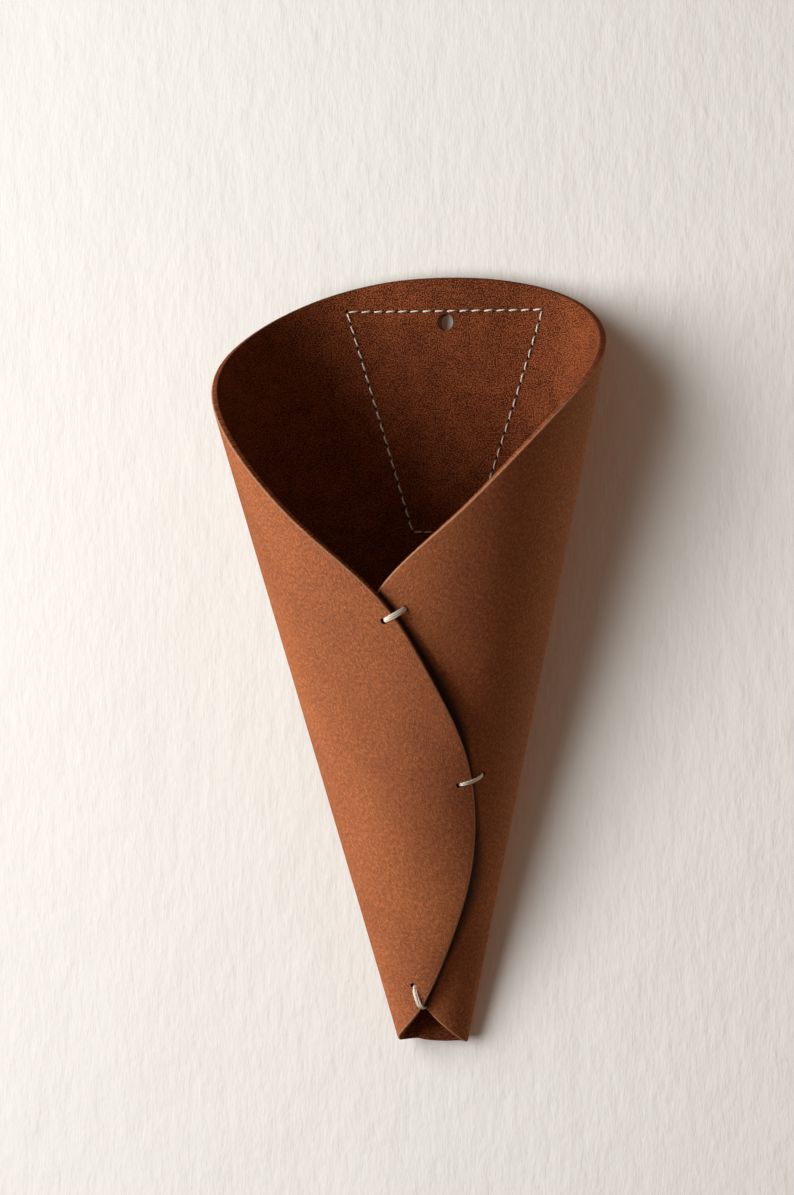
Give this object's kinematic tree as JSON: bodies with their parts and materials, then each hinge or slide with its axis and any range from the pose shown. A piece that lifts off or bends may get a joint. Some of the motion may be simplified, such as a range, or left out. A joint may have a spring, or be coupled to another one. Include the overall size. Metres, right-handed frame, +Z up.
{
  "type": "hanging wall vase",
  "caption": "Wall vase wrapped from a sheet of thick leather into a flattened cone, tied shut with waxed thread and hung from a stitched back panel.",
  "frame": {"origin": "centre of the hanging hole, in the plane of the panel's back, which lies on the wall", "axes": "+Y out of the back into the wall, +Z up, -Y to the front"},
  "size_m": [0.1317, 0.0729, 0.2537],
  "materials": {
    "wrap_leather": "vegetable tanned, oiled, grain side out",
    "panel_leather": "vegetable tanned, flesh side to the wall",
    "waxed_thread": "waxed ivory linen thread"
  },
  "bodies": {
    "root": {"leather_wrap": "wrap_leather", "back_panel": "panel_leather", "panel_stitching": "waxed_thread", "upper_tie": "waxed_thread", "middle_tie": "waxed_thread", "lower_tie": "waxed_thread"}
  },
  "joints": []
}
